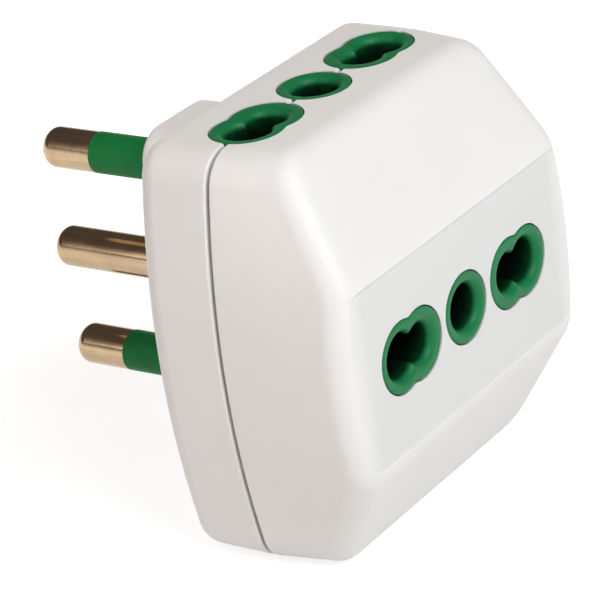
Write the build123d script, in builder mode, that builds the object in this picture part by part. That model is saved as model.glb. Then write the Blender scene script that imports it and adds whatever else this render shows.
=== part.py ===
from build123d import *
import os
from math import atan2, pi, sqrt, tan

# Plug-in adapter with three outlets, for round pins in a row of three.
# The origin is on the earth pin's axis at the plug face. +Y points into the wall and +Z up,
# so the front outlet looks along -Y and the other two look up and down. Sizes are in millimetres.

# Plug pins
pin_pitch = 13.0  # from the earth centre to the live and neutral pins, and to the large outlet holes
pin_diameter = 5.0
pin_reach = 19.3  # live and neutral pins, beyond the plug face
earth_reach = 20.0  # earth pin, beyond the plug face
pin_tip_radius = 1.5
sleeve_reach = 11.75  # insulating sleeves, beyond the plug face
core_diameter = 3.5  # metal inside a sleeve
grip_diameter = 4.4  # pin or sleeve where the plug face grips it
shank_diameter = 6.0  # pin inside the plug nose
spigot_diameter = 3.0  # end of a pin that is riveted to its strip
rivet_diameter = 4.2
rivet_height = 0.6

# Outlet holes and the bosses round them
small_pitch = 9.5  # from the earth centre to the small outlet holes
large_hole = 5.3
small_hole = 4.5
earth_hole = 5.3
large_boss = 8.4
small_boss = 8.4
earth_boss = 8.4
hole_length = 4.5
boss_edge_radius = 0.3
boss_land = 0.25  # flat ring left between a boss's edge and its rounded mouth
waist_radius = 1.2  # softened waist where two boss circles join

# Housing
housing_width = 48.0  # at mid height, where the bowed sides are widest
housing_height = 49.6
side_radius = 101.0  # bow of the sides from the rear to the seam
corner_radius = 4.2
front_side_radius = 52.0  # stronger bow that the sides reach at the front
front_corner_radius = 5.8  # corners of that front outline
front_depth = 16.9  # from the seam to the front
top_depth = 9.0  # from the seam to where the top face turns down
brow_height = 22.8  # flat front, up to where the sloping faces would meet it
brow_radius = 6.0  # turn from the flat front to a sloping face
band_height = 22.0  # sunk band across the flat front
band_recess = 0.3
band_edge = 0.6  # height of the sloping edges above and below the band
front_edge_radius = 3.0
rear_depth = 9.75  # from the seam to the rear face
rear_edge_radius = 2.7
wall = 2.0
seam_gap = 0.4
seam_gap_depth = 0.8
seam_edge_radius = 0.3
tongue_thickness = 0.85
tongue_height = 1.5

# Plug nose behind the housing
nose_length = 11.0
nose_width = 14.8
nose_height = 38.8
nose_corner_radius = 4.0
nose_edge_radius = 1.2
plug_face_thickness = 3.0
coring_width = 8.0

# Outlet carriers
pocket_height = 7.0
pocket_wall = 1.0
flange_height = 11.5
flange_thickness = 1.3
flange_corner_radius = 5.0
seam_rib_drop = 0.4  # from the housing's top down to the rib that shows in the seam

# Spring contacts
clip_thickness = 0.5
clip_root_gap = 4.6
clip_pinch_gap = 3.8
clip_mouth_gap = 5.6
clip_flare_length = 2.5
clip_mouth_drop = 1.5  # from the end of the hole to the contact's mouth
outer_clip_width = 8.9
earth_clip_width = 5.4
clip_tab_length = 3.0

# Strips that join the contacts to the pins
strip_width = 6.0
strip_thickness = 0.8
crossing_gap = 0.6  # between parts of different polarity that pass each other

# Housing screws
screw_diameter = 1.8
screw_head_diameter = 3.2
screw_head_height = 1.6
screw_length = 16.0
screw_slot_width = 0.7
screw_slot_depth = 0.7
post_diameter = 4.0

# Fits
boss_clearance = 0.1
rib_clearance = 0.05
pin_clearance = 0.05
contact_clearance = 0.3
tongue_clearance = 0.15
screw_clearance = 0.1

# Places along Y
plug_face_y = 0.0
plug_seat_y = plug_face_y - plug_face_thickness
rear_face_y = plug_face_y - nose_length
seam_y = rear_face_y - rear_depth
front_y = seam_y - front_depth
band_y = front_y + band_recess

# Sizes that follow from the ones above
pin_radius = pin_diameter / 2
half_height = housing_height / 2
band_wall = wall - band_recess
boss_ring = (min(large_boss, small_boss, earth_boss) - max(large_hole, small_hole, earth_hole)) / 2
hole_lead_in = boss_ring - boss_edge_radius - boss_land
clip_centre = (small_pitch - small_hole / 2 + pin_pitch + large_hole / 2) / 2
carrier_half_width = clip_centre + outer_clip_width / 2 + contact_clearance + pocket_wall
carrier_half_height = pocket_height / 2 + pocket_wall
side_carrier_depth = half_height - carrier_half_height - clip_thickness - crossing_gap
strip_y = seam_y + carrier_half_height + rivet_height + crossing_gap
front_carrier_depth = strip_y - clip_thickness - band_y
tab_end = carrier_half_height + crossing_gap + clip_thickness + clip_tab_length
screw_x = carrier_half_width + contact_clearance + post_diameter / 2
screw_seat_y = rear_face_y - screw_head_height - crossing_gap
slope_angle = atan2(half_height - brow_height / 2, front_depth - top_depth)

# Planes of the three outlets, each looking out of its outlet
front_outlet = Plane((0, band_y, 0), x_dir=(1, 0, 0), z_dir=(0, -1, 0))
top_outlet = Plane((0, seam_y, half_height), x_dir=(1, 0, 0), z_dir=(0, 0, 1))
bottom_outlet = Plane((0, seam_y, -half_height), x_dir=(1, 0, 0), z_dir=(0, 0, -1))


def facing_front(y):
    """Plane across the adapter at y, looking out of the front."""
    return Plane((0, y, 0), x_dir=(1, 0, 0), z_dir=(0, -1, 0))


def save(piece, name):
    """Label a finished piece and write it out."""
    piece.label = name
    export_step(piece, f"parts/{name}.step")


# Outlines

def bowed_outline(inset, bow, corner):
    """Outline of the housing seen from the front, drawn in by inset, with flat ends and bowed sides."""
    end_z = half_height - inset
    corner_x = housing_width / 2 - bow + sqrt((bow - inset)**2 - end_z**2)
    side_x = housing_width / 2 - inset
    with BuildSketch() as outline:
        with BuildLine():
            Line((-corner_x, end_z), (corner_x, end_z))
            ThreePointArc((corner_x, end_z), (side_x, 0), (corner_x, -end_z))
            Line((corner_x, -end_z), (-corner_x, -end_z))
            ThreePointArc((-corner_x, -end_z), (-side_x, 0), (-corner_x, end_z))
        make_face()
        fillet(outline.vertices(), corner - inset)
    return outline.sketch


def housing_outline(inset):
    """Outline of the housing from its rear to the seam."""
    return bowed_outline(inset, side_radius, corner_radius)


def outlet_pattern(large, small, earth):
    """Round earth shape in the middle and a pair of joined circles on each side of it."""
    with BuildSketch() as pattern:
        Circle(earth / 2)
        with Locations((-pin_pitch, 0), (pin_pitch, 0)):
            Circle(large / 2)
        with Locations((-small_pitch, 0), (small_pitch, 0)):
            Circle(small / 2)
    return pattern.sketch


def seam_slot(outlet, half_length, thickness):
    """Narrow strip along the seam's gap at the top or bottom outlet."""
    with BuildSketch() as strip:
        with Locations((0, -outlet.y_dir.Y * seam_gap / 2)):
            Rectangle(2 * half_length, thickness)
    return strip.sketch


def pin_row():
    """Places of the three plug pins, seen from the front."""
    return Locations((0, -pin_pitch), (0, 0), (0, pin_pitch))


def screw_row():
    """Places of the two housing screws, seen from the front."""
    return Locations((-screw_x, 0), (screw_x, 0))


def boss_block(outlet, length, clearance):
    """Bosses of an outlet from its face inwards, let out by the clearance, with softened waists."""
    grow = 2 * clearance
    with BuildPart() as bosses:
        with BuildSketch(outlet):
            add(outlet_pattern(large_boss + grow, small_boss + grow, earth_boss + grow))
        extrude(amount=-length)
        waists = bosses.edges().filter_by(Axis(outlet.origin, outlet.z_dir))
        waists = waists.filter_by(lambda edge: abs(edge.center().X) > small_pitch)
        fillet(waists, waist_radius - clearance)
    return bosses.part


# Housing

def front_form(inset, edge_radius, start_y):
    """Front half of the housing, drawn in by inset: sloping faces above and below a flat front."""
    depth = front_depth - inset
    end_z = half_height - inset
    turn_depth = top_depth - inset * tan(slope_angle / 2)
    brow_z = brow_height / 2 - inset * tan(pi / 4 - slope_angle / 2)
    with BuildPart() as form:
        with BuildSketch(facing_front(start_y)):
            add(housing_outline(inset))
        with BuildSketch(facing_front(seam_y - depth)):
            add(bowed_outline(inset, front_side_radius, front_corner_radius))
        loft()
        with BuildSketch(Plane.YZ) as profile:
            with BuildLine():
                Polyline(
                    (seam_y, end_z),
                    (seam_y - turn_depth, end_z),
                    (seam_y - depth, brow_z),
                    (seam_y - depth, -brow_z),
                    (seam_y - turn_depth, -end_z),
                    (seam_y, -end_z),
                    close=True,
                )
            make_face()
            fillet(profile.vertices().group_by(Axis.X)[0], brow_radius - inset)
        extrude(amount=housing_width, both=True, mode=Mode.INTERSECT)
        rim = form.edges().filter_by(Axis.Y, reverse=True)
        rim = rim.filter_by(lambda edge: edge.center().Y < seam_y - top_depth / 2)
        rim = rim.filter_by(lambda edge: not is_brow_line(edge, end_z))
        fillet(rim, edge_radius)
        # The lower half is the upper one, mirrored
        split(bisect_by=Plane.XY)
        mirror(about=Plane.XY)
    return form.part


def is_brow_line(edge, end_z):
    """True for the straight lines across the front where the flat front turns into a sloping face."""
    along_x = abs(edge.tangent_at(0.5).X) > 1 - 1e-6
    return along_x and abs(edge.center().Z) < end_z - wall


def rear_form(inset, edge_radius):
    """Rear half of the housing, drawn in by inset, with its rear edge rounded."""
    with BuildPart() as form:
        with BuildSketch(facing_front(seam_y)):
            add(housing_outline(inset))
        extrude(amount=inset - rear_depth)
        fillet(form.faces().sort_by(Axis.Y)[-1].edges(), edge_radius)
    return form.part


def side_tongue(inset, reach):
    """Lip along the left and right walls, standing off the seam towards the rear."""
    with BuildPart() as tongue:
        with BuildSketch(facing_front(seam_y)):
            add(housing_outline(inset))
            add(housing_outline(wall), mode=Mode.SUBTRACT)
            Rectangle(housing_width, housing_height - 2 * corner_radius - 2 * wall, mode=Mode.INTERSECT)
        extrude(amount=-reach)
    return tongue.part


with BuildPart() as front_shell:
    add(front_form(0, front_edge_radius, seam_y - seam_gap))
    fillet(front_shell.faces().sort_by(Axis.Y)[-1].edges(), seam_edge_radius)
    with BuildSketch(facing_front(seam_y)):
        add(housing_outline(seam_gap_depth))
    extrude(amount=seam_gap)
    with BuildSketch(Plane.YZ):
        with BuildLine():
            Polyline(
                (front_y, band_height / 2),
                (band_y, band_height / 2 - band_edge),
                (band_y, band_edge - band_height / 2),
                (front_y, -band_height / 2),
                close=True,
            )
        make_face()
    extrude(amount=housing_width, both=True, mode=Mode.SUBTRACT)
    add(front_form(wall, front_edge_radius - wall, seam_y), mode=Mode.SUBTRACT)
    add(side_tongue(wall - tongue_thickness, tongue_height))
    with BuildSketch(facing_front(seam_y)):
        with screw_row():
            Circle(post_diameter / 2)
    extrude(amount=front_depth - wall)
    add(boss_block(front_outlet, 2 * wall, boss_clearance), mode=Mode.SUBTRACT)
    for outlet in (top_outlet, bottom_outlet):
        add(boss_block(outlet, 2 * wall, boss_clearance), mode=Mode.SUBTRACT)
        with BuildSketch(outlet):
            add(seam_slot(outlet, carrier_half_width + rib_clearance, seam_gap))
        extrude(amount=-2 * wall, mode=Mode.SUBTRACT)
    with BuildSketch(facing_front(seam_y + tongue_height)):
        with screw_row():
            Circle(screw_diameter / 2 + screw_clearance)
    extrude(amount=screw_length, mode=Mode.SUBTRACT)

with BuildPart() as rear_shell:
    add(rear_form(0, rear_edge_radius))
    fillet(rear_shell.faces().sort_by(Axis.Y)[0].edges(), seam_edge_radius)
    with BuildSketch(facing_front(rear_face_y)):
        RectangleRounded(nose_width, nose_height, nose_corner_radius)
    extrude(amount=-nose_length)
    fillet(rear_shell.faces().sort_by(Axis.Y)[-1].edges(), nose_edge_radius)
    add(rear_form(wall, rear_edge_radius - wall), mode=Mode.SUBTRACT)
    with BuildSketch(facing_front(rear_face_y)):
        with screw_row():
            Circle(post_diameter / 2)
    extrude(amount=rear_depth)
    groove_inset = wall - tongue_thickness - tongue_clearance
    add(side_tongue(groove_inset, tongue_height + tongue_clearance), mode=Mode.SUBTRACT)
    with BuildSketch(facing_front(plug_seat_y)):
        with pin_row():
            Circle(shank_diameter / 2 + pin_clearance)
    extrude(amount=nose_length, mode=Mode.SUBTRACT)
    with BuildSketch(facing_front(plug_face_y)):
        with pin_row():
            Circle(grip_diameter / 2 + pin_clearance)
    extrude(amount=nose_length, mode=Mode.SUBTRACT)
    with BuildSketch(facing_front(plug_seat_y)):
        with Locations((0, -pin_pitch / 2), (0, pin_pitch / 2)):
            Rectangle(coring_width, pin_pitch - shank_diameter - wall)
    extrude(amount=nose_length, mode=Mode.SUBTRACT)
    for outlet in (top_outlet, bottom_outlet):
        add(boss_block(outlet, 2 * wall, boss_clearance), mode=Mode.SUBTRACT)
    with BuildSketch(facing_front(rear_face_y)):
        with screw_row():
            Circle(screw_diameter / 2 + screw_clearance)
    extrude(amount=rear_depth, mode=Mode.SUBTRACT)
    with BuildSketch(facing_front(rear_face_y)):
        with screw_row():
            Circle(screw_head_diameter / 2 + screw_clearance)
    extrude(amount=rear_face_y - screw_seat_y, mode=Mode.SUBTRACT)


# Outlet carriers

def carrier(outlet, depth, boss_length, on_seam):
    """Moulded block behind one outlet, with bosses that fill the housing's openings."""
    outward = Axis(outlet.origin, outlet.z_dir)
    with BuildPart() as block:
        add(boss_block(outlet, boss_length, 0))
        fillet(block.faces().group_by(outward)[-1].edges(), boss_edge_radius)
        if on_seam:
            with BuildSketch(outlet.offset(-boss_length)):
                add(seam_slot(outlet, carrier_half_width, seam_gap - 2 * rib_clearance))
            extrude(amount=boss_length - seam_rib_drop)
        with BuildSketch(outlet.offset(-boss_length)):
            RectangleRounded(2 * carrier_half_width, flange_height, flange_corner_radius)
        extrude(amount=-flange_thickness)
        block_top = boss_length + flange_thickness
        with BuildSketch(outlet.offset(-block_top)):
            Rectangle(2 * carrier_half_width, 2 * carrier_half_height)
        extrude(amount=block_top - depth)
        with BuildSketch(outlet.offset(-hole_length)):
            with Locations((-clip_centre, 0), (clip_centre, 0)):
                Rectangle(outer_clip_width + 2 * contact_clearance, pocket_height)
            Rectangle(earth_clip_width + 2 * contact_clearance, pocket_height)
        extrude(amount=-depth, mode=Mode.SUBTRACT)
        with BuildSketch(outlet):
            add(outlet_pattern(large_hole, small_hole, earth_hole))
        extrude(amount=-depth, mode=Mode.SUBTRACT)
        mouths = ShapeList()
        for face in block.faces().group_by(outward)[-1]:
            mouths += face.inner_wires().edges()
        fillet(mouths, hole_lead_in)
    return block.part


# Spring contacts

def clip(outlet, depth, centre_x, width, tabbed, riveted):
    """Folded spring contact: two leaves on a base that meets its strip, directly or by a bent tab."""
    mouth = -hole_length - clip_mouth_drop
    pinch = mouth - clip_flare_length
    towards = outlet.y_dir.Y
    tab_u = strip_y - seam_y
    section = Plane(outlet.origin + (centre_x - width / 2, 0, 0), x_dir=outlet.y_dir, z_dir=outlet.x_dir)
    with BuildPart() as contact:
        with BuildSketch(section):
            for side in (-1, 1):
                with BuildLine():
                    Polyline(
                        (side * clip_mouth_gap / 2, mouth),
                        (side * clip_pinch_gap / 2, pinch),
                        (side * clip_root_gap / 2, -depth),
                        (side * (clip_root_gap / 2 + clip_thickness), -depth),
                        (side * (clip_pinch_gap / 2 + clip_thickness), pinch),
                        (side * (clip_mouth_gap / 2 + clip_thickness), mouth),
                        close=True,
                    )
                make_face()
            with Locations((0, -depth - clip_thickness / 2)):
                Rectangle(clip_root_gap + 2 * clip_thickness, clip_thickness)
            if tabbed:
                with Locations((towards * tab_u / 2, -depth - clip_thickness / 2)):
                    Rectangle(tab_u, clip_thickness)
                with Locations((towards * (tab_u - clip_thickness / 2), -depth + clip_tab_length / 2)):
                    Rectangle(clip_thickness, clip_tab_length)
        extrude(amount=width)
        if riveted:
            with BuildSketch(outlet.offset(-depth)):
                Circle(spigot_diameter / 2 + pin_clearance)
            extrude(amount=-clip_thickness, mode=Mode.SUBTRACT)
    return contact.part


# Strips

def outer_strip(turn):
    """Live strip, or the neutral one when turned over: an upright bar with an arm to its pin."""
    arm_end = shank_diameter / 2
    bar_outer = clip_centre + strip_width / 2
    bar_top = pin_pitch + strip_width / 2
    with BuildPart() as strip:
        with BuildSketch(facing_front(strip_y)):
            with Locations((-turn * clip_centre, turn * (bar_top - tab_end) / 2)):
                Rectangle(strip_width, bar_top + tab_end)
            with Locations((turn * (arm_end - bar_outer) / 2, turn * pin_pitch)):
                Rectangle(bar_outer + arm_end, strip_width)
            with Locations((0, turn * pin_pitch)):
                Circle(spigot_diameter / 2 + pin_clearance, mode=Mode.SUBTRACT)
        extrude(amount=-strip_thickness)
    return strip.part


with BuildPart() as earth_strip:
    with BuildSketch(facing_front(strip_y)):
        Rectangle(strip_width, 2 * tab_end)
        Circle(spigot_diameter / 2 + pin_clearance, mode=Mode.SUBTRACT)
    extrude(amount=-strip_thickness)


# Pins and sleeves

def turned_pin(axis_z, rivet_seat_y, grip_radius, grip_end_y, reach):
    """Turned pin: rivet head, spigot, shank, grip and the length that enters the wall socket."""
    with BuildPart() as pin:
        with BuildSketch(Plane.XY.offset(axis_z)) as section:
            with BuildLine():
                Polyline(
                    (0, rivet_seat_y - rivet_height),
                    (rivet_diameter / 2, rivet_seat_y - rivet_height),
                    (rivet_diameter / 2, rivet_seat_y),
                    (spigot_diameter / 2, rivet_seat_y),
                    (spigot_diameter / 2, strip_y + strip_thickness),
                    (shank_diameter / 2, strip_y + strip_thickness),
                    (shank_diameter / 2, plug_seat_y),
                    (grip_radius, plug_seat_y),
                    (grip_radius, grip_end_y),
                    (pin_radius, grip_end_y),
                    (pin_radius, reach),
                    (0, reach),
                    close=True,
                )
            make_face()
            fillet(section.vertices().group_by(Axis.Y)[-1].sort_by(Axis.X)[-1], pin_tip_radius)
        revolve(axis=Axis((0, 0, axis_z), (0, 1, 0)))
    return pin.part


def pin_sleeve(axis_z):
    """Insulating sleeve, flush with the bare end of its pin."""
    bore_radius = core_diameter / 2 + pin_clearance
    with BuildPart() as sleeve:
        with BuildSketch(Plane.XY.offset(axis_z)):
            with BuildLine():
                Polyline(
                    (bore_radius, plug_seat_y),
                    (grip_diameter / 2, plug_seat_y),
                    (grip_diameter / 2, plug_face_y),
                    (pin_radius, plug_face_y),
                    (pin_radius, sleeve_reach),
                    (bore_radius, sleeve_reach),
                    close=True,
                )
            make_face()
        revolve(axis=Axis((0, 0, axis_z), (0, 1, 0)))
    return sleeve.part


# Screws

with BuildPart() as housing_screws:
    with BuildSketch(facing_front(screw_seat_y)):
        with screw_row():
            Circle(screw_diameter / 2)
    extrude(amount=screw_length)
    with BuildSketch(facing_front(screw_seat_y)):
        with screw_row():
            Circle(screw_head_diameter / 2)
    extrude(amount=-screw_head_height)
    with BuildSketch(facing_front(screw_seat_y + screw_head_height)):
        with screw_row():
            Rectangle(screw_slot_width, screw_head_diameter)
    extrude(amount=screw_slot_depth, mode=Mode.SUBTRACT)


# Written pieces

os.makedirs("parts", exist_ok=True)
save(front_shell.part, "front_shell")
save(rear_shell.part, "rear_shell")
save(housing_screws.part, "housing_screws")
save(earth_strip.part, "earth_strip")
save(outer_strip(1), "live_strip")
save(outer_strip(-1), "neutral_strip")

outer_grip = core_diameter / 2
earth_rivet_y = strip_y - clip_thickness
save(turned_pin(pin_pitch, strip_y, outer_grip, sleeve_reach, pin_reach), "live_pin")
save(turned_pin(-pin_pitch, strip_y, outer_grip, sleeve_reach, pin_reach), "neutral_pin")
save(turned_pin(0, earth_rivet_y, grip_diameter / 2, plug_face_y, earth_reach), "earth_pin")
save(pin_sleeve(pin_pitch), "live_sleeve")
save(pin_sleeve(-pin_pitch), "neutral_sleeve")

outlets = {
    "front": (front_outlet, front_carrier_depth, band_wall, False),
    "top": (top_outlet, side_carrier_depth, wall, True),
    "bottom": (bottom_outlet, side_carrier_depth, wall, True),
}
for place, (outlet, depth, boss_length, tabbed) in outlets.items():
    save(carrier(outlet, depth, boss_length, tabbed), f"{place}_carrier")
    save(clip(outlet, depth, -clip_centre, outer_clip_width, tabbed, False), f"{place}_live_contact")
    save(clip(outlet, depth, clip_centre, outer_clip_width, tabbed, False), f"{place}_neutral_contact")
    save(clip(outlet, depth, 0, earth_clip_width, tabbed, not tabbed), f"{place}_earth_contact")
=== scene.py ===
import math

import bpy
from mathutils import Matrix, Vector


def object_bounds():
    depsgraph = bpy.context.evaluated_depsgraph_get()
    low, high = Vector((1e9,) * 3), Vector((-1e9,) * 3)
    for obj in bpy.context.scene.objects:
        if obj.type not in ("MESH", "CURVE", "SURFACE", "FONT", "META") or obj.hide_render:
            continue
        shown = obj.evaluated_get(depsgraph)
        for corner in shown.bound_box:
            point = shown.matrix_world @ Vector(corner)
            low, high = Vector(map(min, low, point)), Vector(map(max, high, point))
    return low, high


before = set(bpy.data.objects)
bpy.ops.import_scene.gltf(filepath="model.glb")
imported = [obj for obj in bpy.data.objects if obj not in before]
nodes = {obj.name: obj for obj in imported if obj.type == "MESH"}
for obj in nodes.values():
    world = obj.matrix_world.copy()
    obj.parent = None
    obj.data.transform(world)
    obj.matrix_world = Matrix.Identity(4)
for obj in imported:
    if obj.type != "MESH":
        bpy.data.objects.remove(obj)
cad_low, cad_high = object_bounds()

# Colours of the pieces, linear: each finish and the darker tone that clouds it
HOUSING_WHITE = (0.80, 0.795, 0.785, 1.0)
HOUSING_SHADE = (0.775, 0.765, 0.752, 1.0)
BAND_GREY = (0.685, 0.70, 0.70, 1.0)
OUTLET_GREEN = (0.010, 0.190, 0.064, 1.0)
OUTLET_SHADE = (0.008, 0.160, 0.052, 1.0)
SLEEVE_GREEN = (0.009, 0.188, 0.047, 1.0)
SLEEVE_SHADE = (0.007, 0.158, 0.039, 1.0)
PIN_METAL = (0.58, 0.44, 0.28, 1.0)
PIN_TARNISH = (0.47, 0.34, 0.205, 1.0)
CONTACT_BRASS = (0.62, 0.42, 0.20, 1.0)
CONTACT_SHADE = (0.42, 0.26, 0.11, 1.0)
STRIP_BRASS = (0.64, 0.46, 0.22, 1.0)
STRIP_SHADE = (0.44, 0.29, 0.12, 1.0)
SCREW_ZINC = (0.58, 0.58, 0.57, 1.0)
SCREW_SHADE = (0.42, 0.42, 0.41, 1.0)

# Colours of the studio, linear
FLOOR_WHITE = (0.90, 0.90, 0.90, 1.0)  # as the floor throws light back
FLOOR_SEEN = (0.36, 0.36, 0.36, 1.0)  # as the camera sees it, before its lift to white
STUDIO_WHITE = (1.0, 1.0, 1.0, 1.0)
STUDIO_DARK = (0.11, 0.095, 0.09, 1.0)
AMBIENT_LIGHT = (1.0, 0.80, 0.65, 1.0)
DAYLIGHT = (0.94, 0.98, 1.0)
ROSE_LIGHT = (1.0, 0.90, 0.90)

# Light levels
AMBIENT_STRENGTH = 0.235
KEY_WATTS = 1.2
SIDE_WATTS = 1.9
BACK_WATTS = 14.4
FLOOR_WATTS = 1.7

# Relief of the surfaces, in metres
PLASTIC_RELIEF = 0.00004
METAL_RELIEF = 0.00002

# Surface effects
WAVE_SHARE = 1.6  # slow waviness of a moulding, against its fine grain
GRAIN_MIDDLE = 0.5  # noise level that leaves the roughness as it is
RECESS_SAMPLES = 8  # rays that feel for a recess at each point

# Sunk band on the front, in metres: its limits, and where its grey fades out towards the ends
BAND_HALF_HEIGHT = 0.0107
BAND_FRONT = -0.03725
BAND_FADE_START = 0.0185
BAND_FADE_END = 0.0225
BAND_DULLNESS = 0.15  # added to the housing's roughness

# Floor, in metres: its lift to white is weaker near the adapter, where the shadow lies
FLOOR_SIZE = 8.0
FLOOR_NEAR = 0.03
FLOOR_FAR = 0.09
FLOOR_LIFT_NEAR = 0.79
FLOOR_LIFT_FAR = 1.0

# Room round the floor, by the height of a ray's direction: white up to the first, dark from the second
ROOM_WHITE_BELOW = 0.04
ROOM_DARK_ABOVE = 0.22

# The photograph's camera, in metres and degrees, with its lens in millimetres
CAMERA_TARGET = Vector((-0.00816, -0.02075, 0.00218))
CAMERA_DISTANCE = 0.34379
CAMERA_AZIMUTH = -52.28
CAMERA_ELEVATION = 24.23
CAMERA_ROLL = -8.39
CAMERA_LENS = 184.73
CAMERA_SENSOR = 36.0
CAMERA_CLIP = (0.01, 50.0)

# Sockets of a Mix node that mixes colours
MIX_A, MIX_B = 6, 7
MIX_RESULT = 2


# Helpers

def add_node(tree, kind, values=None, **settings):
    """Add a node, with its settings and the values of its unlinked inputs."""
    made = tree.nodes.new(kind)
    for name, value in settings.items():
        setattr(made, name, value)
    for name, value in (values or {}).items():
        made.inputs[name].default_value = value
    return made


def new_group(name, inputs, outputs):
    """Start a shader node group with float and vector inputs and float outputs."""
    tree = bpy.data.node_groups.new(name, "ShaderNodeTree")
    for label, kind, default in inputs:
        socket = tree.interface.new_socket(label, in_out="INPUT", socket_type=kind)
        if default is not None:
            socket.default_value = default
    for label in outputs:
        tree.interface.new_socket(label, in_out="OUTPUT", socket_type="NodeSocketFloat")
    return tree, tree.nodes.new("NodeGroupInput"), tree.nodes.new("NodeGroupOutput")


def new_material(name):
    """Start a material, and return it with its node tree and shader."""
    material = bpy.data.materials.new(name)
    material.use_nodes = True
    tree = material.node_tree
    return material, tree, tree.nodes["Principled BSDF"]


def direction(azimuth, elevation):
    """Unit vector towards an azimuth and elevation in degrees; azimuth 0 is in front of the adapter."""
    turn, climb = math.radians(azimuth), math.radians(elevation)
    return Vector((math.sin(turn) * math.cos(climb), -math.cos(turn) * math.cos(climb), math.sin(climb)))


# Surface effects that several materials share

def moulded_skin_group():
    """Skin of a moulding: fine grain, slow waviness and cloudy tone."""
    tree, inside, outside = new_group(
        "moulded_skin",
        [
            ("Vector", "NodeSocketVector", None),
            ("Grain Scale", "NodeSocketFloat", 2400.0),
            ("Cloud Scale", "NodeSocketFloat", 70.0),
            ("Base Roughness", "NodeSocketFloat", 0.4),
            ("Roughness Swing", "NodeSocketFloat", 0.1),
        ],
        ["Height", "Tone", "Roughness"],
    )
    link = tree.links.new
    grain = add_node(tree, "ShaderNodeTexNoise", {"Detail": 4.0, "Roughness": 0.6})
    link(inside.outputs["Vector"], grain.inputs["Vector"])
    link(inside.outputs["Grain Scale"], grain.inputs["Scale"])
    cloud = add_node(tree, "ShaderNodeTexNoise", {"Detail": 3.0, "Roughness": 0.55})
    link(inside.outputs["Vector"], cloud.inputs["Vector"])
    link(inside.outputs["Cloud Scale"], cloud.inputs["Scale"])
    wave = add_node(tree, "ShaderNodeMath", {1: WAVE_SHARE}, operation="MULTIPLY")
    link(cloud.outputs["Fac"], wave.inputs[0])
    height = add_node(tree, "ShaderNodeMath", operation="ADD")
    link(grain.outputs["Fac"], height.inputs[0])
    link(wave.outputs["Value"], height.inputs[1])
    link(height.outputs["Value"], outside.inputs["Height"])
    tone = add_node(tree, "ShaderNodeMapRange", {"From Min": 0.3, "From Max": 0.7})
    link(cloud.outputs["Fac"], tone.inputs["Value"])
    link(tone.outputs["Result"], outside.inputs["Tone"])
    swing = add_node(tree, "ShaderNodeMath", {1: GRAIN_MIDDLE}, operation="SUBTRACT")
    link(grain.outputs["Fac"], swing.inputs[0])
    rough = add_node(tree, "ShaderNodeMath", operation="MULTIPLY_ADD")
    link(swing.outputs["Value"], rough.inputs[0])
    link(inside.outputs["Roughness Swing"], rough.inputs[1])
    link(inside.outputs["Base Roughness"], rough.inputs[2])
    link(rough.outputs["Value"], outside.inputs["Roughness"])
    return tree


def worked_metal_group():
    """Turned or rolled metal: fine lines drawn out by the stretch, with patches of tarnish."""
    tree, inside, outside = new_group(
        "worked_metal",
        [
            ("Vector", "NodeSocketVector", None),
            ("Line Stretch", "NodeSocketVector", (40.0, 4000.0, 40.0)),
            ("Tarnish Scale", "NodeSocketFloat", 260.0),
            ("Base Roughness", "NodeSocketFloat", 0.25),
            ("Roughness Swing", "NodeSocketFloat", 0.15),
        ],
        ["Height", "Tone", "Roughness"],
    )
    link = tree.links.new
    stretch = add_node(tree, "ShaderNodeVectorMath", operation="MULTIPLY")
    link(inside.outputs["Vector"], stretch.inputs[0])
    link(inside.outputs["Line Stretch"], stretch.inputs[1])
    lines = add_node(tree, "ShaderNodeTexNoise", {"Scale": 1.0, "Detail": 5.0, "Roughness": 0.65})
    link(stretch.outputs["Vector"], lines.inputs["Vector"])
    link(lines.outputs["Fac"], outside.inputs["Height"])
    patches = add_node(tree, "ShaderNodeTexNoise", {"Detail": 4.0, "Roughness": 0.6})
    link(inside.outputs["Vector"], patches.inputs["Vector"])
    link(inside.outputs["Tarnish Scale"], patches.inputs["Scale"])
    blend = add_node(tree, "ShaderNodeMath", operation="MULTIPLY")
    link(lines.outputs["Fac"], blend.inputs[0])
    link(patches.outputs["Fac"], blend.inputs[1])
    tone = add_node(tree, "ShaderNodeMapRange", {"From Min": 0.15, "From Max": 0.4})
    link(blend.outputs["Value"], tone.inputs["Value"])
    link(tone.outputs["Result"], outside.inputs["Tone"])
    rough = add_node(tree, "ShaderNodeMath", operation="MULTIPLY_ADD")
    link(patches.outputs["Fac"], rough.inputs[0])
    link(inside.outputs["Roughness Swing"], rough.inputs[1])
    link(inside.outputs["Base Roughness"], rough.inputs[2])
    link(rough.outputs["Value"], outside.inputs["Roughness"])
    return tree


def recess_shade_group():
    """Painted shade in narrow recesses: darkens the base colour where little light comes back out, 1 in the
    open, lower inside.
    """
    tree, inside, outside = new_group(
        "painted_recess_shade",
        [
            ("Reach", "NodeSocketFloat", 0.004),
            ("Dark Below", "NodeSocketFloat", 0.0),
            ("Clear Above", "NodeSocketFloat", 1.0),
            ("Deep Shade", "NodeSocketFloat", 0.5),
        ],
        ["Shade"],
    )
    link = tree.links.new
    cover = add_node(tree, "ShaderNodeAmbientOcclusion", samples=RECESS_SAMPLES)
    link(inside.outputs["Reach"], cover.inputs["Distance"])
    shade = add_node(tree, "ShaderNodeMapRange", interpolation_type="SMOOTHSTEP")
    link(cover.outputs["AO"], shade.inputs["Value"])
    link(inside.outputs["Dark Below"], shade.inputs["From Min"])
    link(inside.outputs["Clear Above"], shade.inputs["From Max"])
    link(inside.outputs["Deep Shade"], shade.inputs["To Min"])
    link(shade.outputs["Result"], outside.inputs["Shade"])
    return tree


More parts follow.
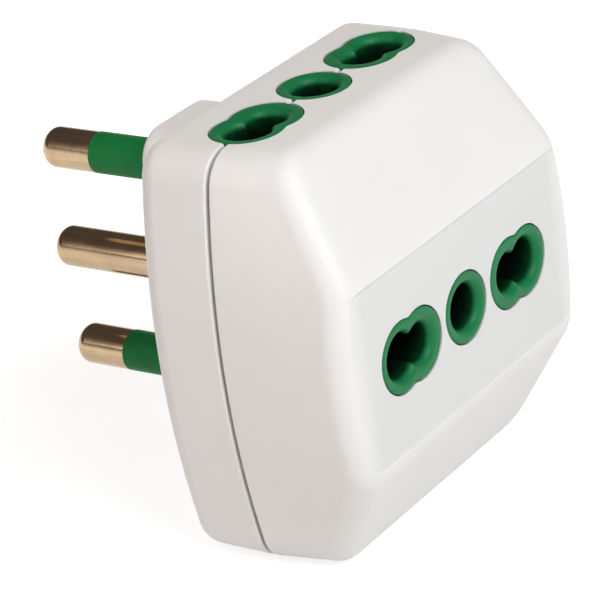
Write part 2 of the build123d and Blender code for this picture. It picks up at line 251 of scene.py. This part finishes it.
def band_zone_group():
    """1 on the sunk band across the front, fading out at its ends, and 0 on the rest of the housing."""
    tree, inside, outside = new_group("band_zone", [("Vector", "NodeSocketVector", None)], ["Mask"])
    link = tree.links.new
    axes = add_node(tree, "ShaderNodeSeparateXYZ")
    link(inside.outputs["Vector"], axes.inputs["Vector"])
    height = add_node(tree, "ShaderNodeMath", operation="ABSOLUTE")
    link(axes.outputs["Z"], height.inputs[0])
    level = add_node(tree, "ShaderNodeMath", {1: BAND_HALF_HEIGHT}, operation="LESS_THAN")
    link(height.outputs["Value"], level.inputs[0])
    front = add_node(tree, "ShaderNodeMath", {1: BAND_FRONT}, operation="LESS_THAN")
    link(axes.outputs["Y"], front.inputs[0])
    both = add_node(tree, "ShaderNodeMath", operation="MULTIPLY")
    link(level.outputs["Value"], both.inputs[0])
    link(front.outputs["Value"], both.inputs[1])
    reach = add_node(tree, "ShaderNodeMath", operation="ABSOLUTE")
    link(axes.outputs["X"], reach.inputs[0])
    fade = add_node(
        tree, "ShaderNodeMapRange",
        {"From Min": BAND_FADE_START, "From Max": BAND_FADE_END, "To Min": 1.0, "To Max": 0.0},
        interpolation_type="SMOOTHSTEP",
    )
    link(reach.outputs["Value"], fade.inputs["Value"])
    faded = add_node(tree, "ShaderNodeMath", operation="MULTIPLY")
    link(both.outputs["Value"], faded.inputs[0])
    link(fade.outputs["Result"], faded.inputs[1])
    link(faded.outputs["Value"], outside.inputs["Mask"])
    return tree


moulded_skin = moulded_skin_group()
worked_metal = worked_metal_group()
painted_recess_shade = recess_shade_group()
band_zone = band_zone_group()


# Materials

def surface(name, effect, settings, light, dark, metallic, specular, recess, bump, relief):
    """Material whose colour, roughness and relief come from an effect group, with painted shade in its
    recesses from the recess group.
    """
    material, tree, shader = new_material(name)
    link = tree.links.new
    shader.inputs["Metallic"].default_value = metallic
    shader.inputs["Specular IOR Level"].default_value = specular
    place = add_node(tree, "ShaderNodeTexCoord")
    skin = add_node(tree, "ShaderNodeGroup", settings, node_tree=effect)
    link(place.outputs["Object"], skin.inputs["Vector"])
    colour = add_node(tree, "ShaderNodeMix", {MIX_A: dark, MIX_B: light}, data_type="RGBA")
    link(skin.outputs["Tone"], colour.inputs["Factor"])
    # painted shade: the colour is darkened in seams, gaps and holes
    hollow = add_node(tree, "ShaderNodeGroup", recess, node_tree=painted_recess_shade)
    shaded = add_node(tree, "ShaderNodeMix", {"Factor": 1.0}, data_type="RGBA", blend_type="MULTIPLY")
    link(colour.outputs[MIX_RESULT], shaded.inputs[MIX_A])
    link(hollow.outputs["Shade"], shaded.inputs[MIX_B])
    link(shaded.outputs[MIX_RESULT], shader.inputs["Base Color"])
    link(skin.outputs["Roughness"], shader.inputs["Roughness"])
    raised = add_node(tree, "ShaderNodeBump", {"Strength": bump, "Distance": relief})
    link(skin.outputs["Height"], raised.inputs["Height"])
    link(raised.outputs["Normal"], shader.inputs["Normal"])
    return material


def plastic(name, settings, light, dark, specular, recess, bump):
    """Moulded plastic."""
    return surface(
        name, moulded_skin, settings, light, dark, metallic=0.0, specular=specular,
        recess=recess, bump=bump, relief=PLASTIC_RELIEF,
    )


def metal(name, settings, light, dark, recess, bump):
    """Bare metal, turned or rolled."""
    return surface(
        name, worked_metal, settings, light, dark, metallic=1.0, specular=0.5,
        recess=recess, bump=bump, relief=METAL_RELIEF,
    )


def add_matt_band(material):
    """Make the housing's front band greyer and duller than the rest."""
    tree = material.node_tree
    link = tree.links.new
    shader = tree.nodes["Principled BSDF"]
    place = add_node(tree, "ShaderNodeTexCoord")
    zone = add_node(tree, "ShaderNodeGroup", node_tree=band_zone)
    link(place.outputs["Object"], zone.inputs["Vector"])
    tint = add_node(tree, "ShaderNodeMix", {MIX_B: BAND_GREY}, data_type="RGBA")
    link(zone.outputs["Mask"], tint.inputs["Factor"])
    link(shader.inputs["Base Color"].links[0].from_socket, tint.inputs[MIX_A])
    link(tint.outputs[MIX_RESULT], shader.inputs["Base Color"])
    dull = add_node(tree, "ShaderNodeMath", {1: BAND_DULLNESS}, operation="MULTIPLY_ADD")
    link(zone.outputs["Mask"], dull.inputs[0])
    link(shader.inputs["Roughness"].links[0].from_socket, dull.inputs[2])
    link(dull.outputs["Value"], shader.inputs["Roughness"])


# Each recess setting below sets a material's painted shade: in the seam and gaps of the housing, deep in the
# outlets' holes, near the body on the sleeves, and on the metal inside the housing
housing_plastic = plastic(
    "housing_plastic",
    {"Grain Scale": 2600.0, "Cloud Scale": 60.0, "Base Roughness": 0.47, "Roughness Swing": 0.12},
    HOUSING_WHITE, HOUSING_SHADE, specular=0.3, bump=0.12,
    recess={"Reach": 0.0015, "Dark Below": 0.3, "Clear Above": 1.0, "Deep Shade": 0.8},
)
add_matt_band(housing_plastic)
outlet_plastic = plastic(
    "outlet_plastic",
    {"Grain Scale": 3200.0, "Cloud Scale": 160.0, "Base Roughness": 0.40, "Roughness Swing": 0.12},
    OUTLET_GREEN, OUTLET_SHADE, specular=0.16, bump=0.15,
    recess={"Reach": 0.02, "Dark Below": 0.31, "Clear Above": 0.62, "Deep Shade": 0.02},
)
sleeve_plastic = plastic(
    "sleeve_plastic",
    {"Grain Scale": 3600.0, "Cloud Scale": 220.0, "Base Roughness": 0.45, "Roughness Swing": 0.14},
    SLEEVE_GREEN, SLEEVE_SHADE, specular=0.13, bump=0.18,
    recess={"Reach": 0.002, "Dark Below": 0.0, "Clear Above": 0.8, "Deep Shade": 0.6},
)
pin_metal = metal(
    "pin_metal",
    {"Line Stretch": (2600.0, 70.0, 2600.0), "Tarnish Scale": 420.0,
     "Base Roughness": 0.11, "Roughness Swing": 0.08},
    PIN_METAL, PIN_TARNISH, bump=0.10,
    recess={"Reach": 0.02, "Dark Below": 0.05, "Clear Above": 0.35, "Deep Shade": 0.04},
)
contact_metal = metal(
    "contact_metal",
    {"Line Stretch": (4200.0, 60.0, 60.0), "Tarnish Scale": 300.0,
     "Base Roughness": 0.24, "Roughness Swing": 0.2},
    CONTACT_BRASS, CONTACT_SHADE, bump=0.15,
    recess={"Reach": 0.02, "Dark Below": 0.1, "Clear Above": 0.6, "Deep Shade": 0.05},
)
strip_metal = metal(
    "strip_metal",
    {"Line Stretch": (4200.0, 60.0, 60.0), "Tarnish Scale": 260.0,
     "Base Roughness": 0.28, "Roughness Swing": 0.2},
    STRIP_BRASS, STRIP_SHADE, bump=0.15,
    recess={"Reach": 0.02, "Dark Below": 0.1, "Clear Above": 0.6, "Deep Shade": 0.05},
)
screw_metal = metal(
    "screw_metal",
    {"Line Stretch": (60.0, 3800.0, 60.0), "Tarnish Scale": 500.0,
     "Base Roughness": 0.28, "Roughness Swing": 0.2},
    SCREW_ZINC, SCREW_SHADE, bump=0.15,
    recess={"Reach": 0.006, "Dark Below": 0.1, "Clear Above": 0.6, "Deep Shade": 0.06},
)

# Finish of each CAD node, by the last word of its name
FINISHES = {
    "shell": housing_plastic,
    "carrier": outlet_plastic,
    "sleeve": sleeve_plastic,
    "pin": pin_metal,
    "contact": contact_metal,
    "strip": strip_metal,
    "screws": screw_metal,
}
for name, part in nodes.items():
    finish = FINISHES[name.split("_")[-1]]
    for slot in part.material_slots:
        slot.material = finish


# Floor and background

def seen_directly(tree):
    """1 for rays that see the background itself: from the camera, or by way of a gloss or glass."""
    path = add_node(tree, "ShaderNodeLightPath")
    some = add_node(tree, "ShaderNodeMath", operation="MAXIMUM")
    tree.links.new(path.outputs["Is Camera Ray"], some.inputs[0])
    tree.links.new(path.outputs["Is Glossy Ray"], some.inputs[1])
    every = add_node(tree, "ShaderNodeMath", operation="MAXIMUM")
    tree.links.new(some.outputs["Value"], every.inputs[0])
    tree.links.new(path.outputs["Is Transmission Ray"], every.inputs[1])
    return every.outputs["Value"]


def floor_material():
    """Matt white sheet that looks white to the camera and keeps its shadow."""
    material, tree, shader = new_material("floor_sheet")
    link = tree.links.new
    shader.inputs["Roughness"].default_value = 1.0
    shader.inputs["Specular IOR Level"].default_value = 0.0
    shader.inputs["Emission Color"].default_value = STUDIO_WHITE
    seen = seen_directly(tree)
    paper = add_node(tree, "ShaderNodeMix", {MIX_A: FLOOR_WHITE, MIX_B: FLOOR_SEEN}, data_type="RGBA")
    link(seen, paper.inputs["Factor"])
    link(paper.outputs[MIX_RESULT], shader.inputs["Base Color"])
    place = add_node(tree, "ShaderNodeTexCoord")
    reach = add_node(tree, "ShaderNodeVectorMath", operation="LENGTH")
    link(place.outputs["Object"], reach.inputs[0])
    level = add_node(
        tree, "ShaderNodeMapRange",
        {"From Min": FLOOR_NEAR, "From Max": FLOOR_FAR, "To Min": FLOOR_LIFT_NEAR, "To Max": FLOOR_LIFT_FAR},
        interpolation_type="SMOOTHSTEP",
    )
    link(reach.outputs["Value"], level.inputs["Value"])
    lift = add_node(tree, "ShaderNodeMath", operation="MULTIPLY")
    link(seen, lift.inputs[0])
    link(level.outputs["Result"], lift.inputs[1])
    link(lift.outputs["Value"], shader.inputs["Emission Strength"])
    return material


def studio_world():
    """Even warm light on the pieces, and a room for the rays that see it: white low down, dark above."""
    world = bpy.data.worlds.new("studio")
    world.use_nodes = True
    tree = world.node_tree
    link = tree.links.new
    ambient = tree.nodes["Background"]
    ambient.inputs["Color"].default_value = AMBIENT_LIGHT
    ambient.inputs["Strength"].default_value = AMBIENT_STRENGTH
    view = add_node(tree, "ShaderNodeTexCoord")
    axes = add_node(tree, "ShaderNodeSeparateXYZ")
    link(view.outputs["Generated"], axes.inputs["Vector"])
    climb = add_node(
        tree, "ShaderNodeMapRange", {"From Min": ROOM_WHITE_BELOW, "From Max": ROOM_DARK_ABOVE},
        interpolation_type="SMOOTHSTEP",
    )
    link(axes.outputs["Z"], climb.inputs["Value"])
    room = add_node(tree, "ShaderNodeMix", {MIX_A: STUDIO_WHITE, MIX_B: STUDIO_DARK}, data_type="RGBA")
    link(climb.outputs["Result"], room.inputs["Factor"])
    backdrop = add_node(tree, "ShaderNodeBackground", {"Strength": 1.0})
    link(room.outputs[MIX_RESULT], backdrop.inputs["Color"])
    choice = add_node(tree, "ShaderNodeMixShader")
    link(seen_directly(tree), choice.inputs["Fac"])
    link(ambient.outputs["Background"], choice.inputs[1])
    link(backdrop.outputs["Background"], choice.inputs[2])
    link(choice.outputs["Shader"], tree.nodes["World Output"].inputs["Surface"])
    return world


bpy.ops.object.select_all(action="DESELECT")
bpy.ops.mesh.primitive_plane_add(size=FLOOR_SIZE, location=(0, 0, cad_low.z))
floor = bpy.context.object
floor.name = "floor"
floor.data.materials.append(floor_material())

scene = bpy.context.scene
scene.world = studio_world()


# Light

def soft_box(name, azimuth, elevation, distance, width, height, watts, colour):
    """Oblong studio light that looks at the adapter from an azimuth and elevation in degrees."""
    away = direction(azimuth, elevation)
    lamp = bpy.data.lights.new(name, "AREA")
    lamp.shape = "RECTANGLE"
    lamp.size = width
    lamp.size_y = height
    lamp.energy = watts
    lamp.color = colour
    box = bpy.data.objects.new(name, lamp)
    scene.collection.objects.link(box)
    box.location = CAMERA_TARGET + away * distance
    box.rotation_mode = "QUATERNION"
    box.rotation_quaternion = (-away).to_track_quat("-Z", "Y")
    return box


def floor_spot(name, x, y, height, width, blend, bulb_radius, watts):
    """Lamp that hangs over the floor and lights a round patch of it, so that it throws light back up."""
    lamp = bpy.data.lights.new(name, "SPOT")
    lamp.spot_size = 2 * math.atan(width / 2 / height)
    lamp.spot_blend = blend
    lamp.shadow_soft_size = bulb_radius
    lamp.energy = watts
    spot = bpy.data.objects.new(name, lamp)
    scene.collection.objects.link(spot)
    spot.location = (x, y, cad_low.z + height)


soft_box(
    "key_light", azimuth=-18.0, elevation=42.0, distance=0.38, width=0.2, height=0.2,
    watts=KEY_WATTS, colour=DAYLIGHT,
)
soft_box(
    "side_light", azimuth=-115.0, elevation=30.0, distance=0.9, width=0.5, height=0.5,
    watts=SIDE_WATTS, colour=ROSE_LIGHT,
)
back_light = soft_box(
    "back_light", azimuth=135.0, elevation=8.0, distance=1.5, width=1.6, height=0.3,
    watts=BACK_WATTS, colour=DAYLIGHT,
)
back_light.visible_glossy = False  # it would glare on the top face
floor_spot(
    "floor_light", x=0.06, y=-0.12, height=0.5, width=0.19, blend=0.4, bulb_radius=0.03,
    watts=FLOOR_WATTS,
)


# Camera

def photo_camera():
    """Camera that stands where the photograph's did."""
    turn, lean = math.radians(CAMERA_AZIMUTH), math.radians(CAMERA_ROLL)
    back = direction(CAMERA_AZIMUTH, CAMERA_ELEVATION)
    level = Vector((math.cos(turn), math.sin(turn), 0.0))
    upright = back.cross(level)
    right = level * math.cos(lean) + upright * math.sin(lean)
    up = upright * math.cos(lean) - level * math.sin(lean)
    lens = bpy.data.cameras.new("photo_camera")
    lens.lens = CAMERA_LENS
    lens.sensor_width = CAMERA_SENSOR
    lens.clip_start, lens.clip_end = CAMERA_CLIP
    camera = bpy.data.objects.new("photo_camera", lens)
    scene.collection.objects.link(camera)
    stand = Matrix((right, up, back)).transposed().to_4x4()
    stand.translation = CAMERA_TARGET + back * CAMERA_DISTANCE
    camera.matrix_world = stand
    return camera


scene.camera = photo_camera()
scene.view_settings.view_transform = "Standard"
